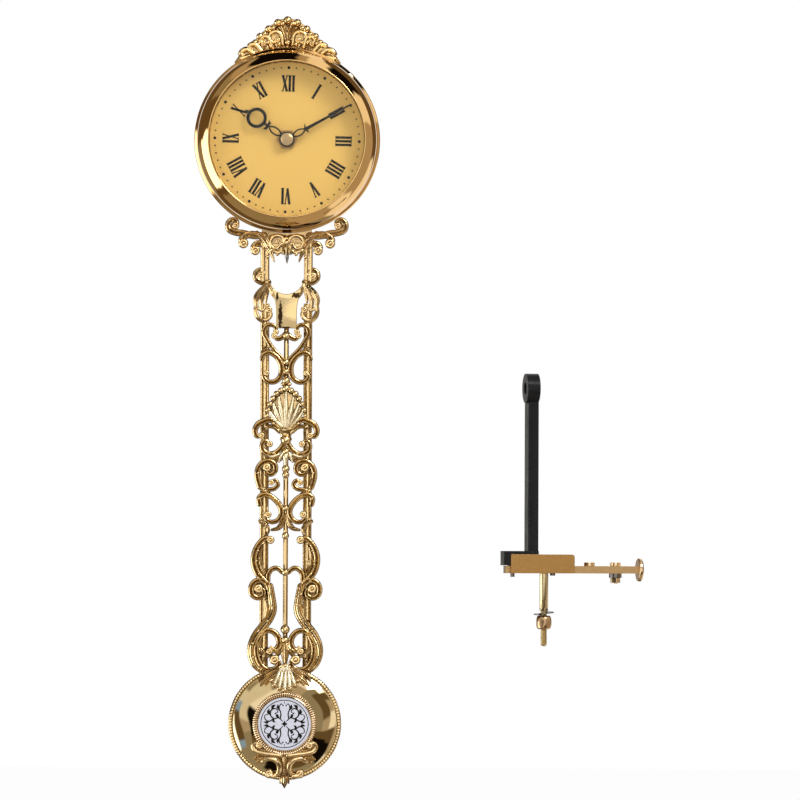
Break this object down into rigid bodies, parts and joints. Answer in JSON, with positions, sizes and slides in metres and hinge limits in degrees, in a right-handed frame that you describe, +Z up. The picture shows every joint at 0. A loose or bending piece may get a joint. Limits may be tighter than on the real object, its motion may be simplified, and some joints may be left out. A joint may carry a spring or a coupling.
{
  "type": "quartz pendulum clock movement",
  "caption": "Quartz clock head with an ornate cast pendulum rod and domed bob that swings as one piece on needle points, with its magnet-driven bracket beside it.",
  "frame": {"origin": "on the swing axis, midway between the two needle points", "axes": "+Z up along the clock, -Y towards the reader of the dial, Y along the swing axis"},
  "size_m": [0.2708, 0.0544, 0.464],
  "materials": {
    "bezel_brass": "polished, clear lacquer",
    "cast_gold": "cast, gold plated, antique patina in the hollows",
    "bob_gold": "mirror polished, gold plated",
    "spun_brass": "spun steel, gold lacquer",
    "satin_brass": "turned and milled, satin",
    "dial_gold": "satin, printed numerals",
    "glass": "clear flat glass",
    "steel": "nickel-plated screws and washers",
    "needle_steel": "hardened steel, ground points",
    "plain_steel": "plain steel weight",
    "black_plastic": "moulded, satin black",
    "white_plastic": "moulded nylon",
    "hand_black": "black lacquer",
    "medallion_white": "white enamel look with black flourish",
    "rubber_black": "soft washer",
    "board_green": "circuit board with solder mask",
    "copper": "enamelled copper wire",
    "cell_wrap": "battery cell in a plain wrapper",
    "magnet_grey": "sintered magnet, ground",
    "core_steel": "laminated soft iron"
  },
  "bodies": {
    "bracket": {"seat_bar": "satin_brass", "needle_seats": "steel", "seat_washer": "steel", "seat_nut": "satin_brass", "channel_block": "satin_brass", "block_screws": "steel", "magnet_arm": "black_plastic", "ring_magnet": "magnet_grey", "stud": "satin_brass", "end_knob": "satin_brass"},
    "stud_nut": {"split_washer": "steel", "stud_nut": "satin_brass"},
    "clock": {"bezel": "bezel_brass", "glass": "glass", "dial_spacer": "bezel_brass", "dial": "dial_gold", "head_plate": "spun_brass", "drum": "spun_brass", "back_cover": "spun_brass", "cover_screws": "steel", "crest_ornament": "cast_gold", "yoke_casting": "cast_gold", "yoke_screws": "steel", "needle_block": "satin_brass", "pivot_needles": "needle_steel", "side_rails": "cast_gold", "rod_scrollwork": "cast_gold", "centre_rod": "cast_gold", "bob_back": "spun_brass", "bob_screws": "steel", "bob_weight": "plain_steel", "bob_dome": "bob_gold", "bob_rim": "cast_gold", "medallion_ring": "cast_gold", "medallion_disc": "medallion_white", "shell_ornament": "cast_gold", "foot_ornament": "cast_gold", "movement_case": "black_plastic", "movement_cover": "black_plastic", "gasket": "rubber_black", "post_nut": "satin_brass", "circuit_board": "board_green", "quartz_crystal": "steel", "battery": "cell_wrap", "battery_contacts": "steel", "stepper_coil": "copper", "stator": "core_steel", "swing_coil": "copper", "coil_holder": "white_plastic", "swing_board": "board_green"},
    "minute": {"centre_wheel": "satin_brass", "minute_hand": "hand_black", "hand_cap": "satin_brass"},
    "hour": {"hour_wheel": "white_plastic", "hour_hand": "hand_black"},
    "motion": {"motion_wheel": "white_plastic"},
    "knob": {"setting_knob": "black_plastic"},
    "third": {"third_wheel": "white_plastic"},
    "second": {"second_wheel": "white_plastic"},
    "rotor": {"rotor": "magnet_grey"}
  },
  "joints": [
    {"name": "clock_swing", "type": "hinge", "parent": "bracket", "child": "clock", "pos_m": [0, 0, 0], "axis": [0, 1, 0], "range_deg": [-8, 8]},
    {"name": "stud_nut_slide", "type": "slide", "parent": "bracket", "child": "stud_nut", "axis": [0, 0, -1], "range_m": [0, 0.008]},
    {"name": "minute_turn", "type": "hinge", "parent": "clock", "child": "minute", "pos_m": [0, 0, 0.0738], "axis": [0, 1, 0], "continuous": true},
    {"name": "hour_turn", "type": "hinge", "parent": "clock", "child": "hour", "pos_m": [0, 0, 0.0738], "axis": [0, 1, 0], "continuous": true},
    {"name": "motion_turn", "type": "hinge", "parent": "clock", "child": "motion", "pos_m": [-0.00686, 0, 0.08066], "axis": [0, 1, 0], "continuous": true},
    {"name": "knob_turn", "type": "hinge", "parent": "clock", "child": "knob", "pos_m": [-0.0127, 0, 0.07291], "axis": [0, 1, 0], "continuous": true},
    {"name": "third_turn", "type": "hinge", "parent": "clock", "child": "third", "pos_m": [0.00692, 0, 0.08072], "axis": [0, 1, 0], "continuous": true},
    {"name": "second_turn", "type": "hinge", "parent": "clock", "child": "second", "pos_m": [0.01432, 0, 0.08072], "axis": [0, 1, 0], "continuous": true},
    {"name": "rotor_turn", "type": "hinge", "parent": "clock", "child": "rotor", "pos_m": [0.01432, 0, 0.08677], "axis": [0, 1, 0], "continuous": true}
  ],
  "couplings": [
    {"joint": "hour_turn", "follows": "minute_turn", "ratio": 0.083333},
    {"joint": "motion_turn", "follows": "minute_turn", "ratio": -0.33333},
    {"joint": "knob_turn", "follows": "minute_turn", "ratio": 1},
    {"joint": "third_turn", "follows": "minute_turn", "ratio": -7.5},
    {"joint": "second_turn", "follows": "minute_turn", "ratio": 60}
  ]
}
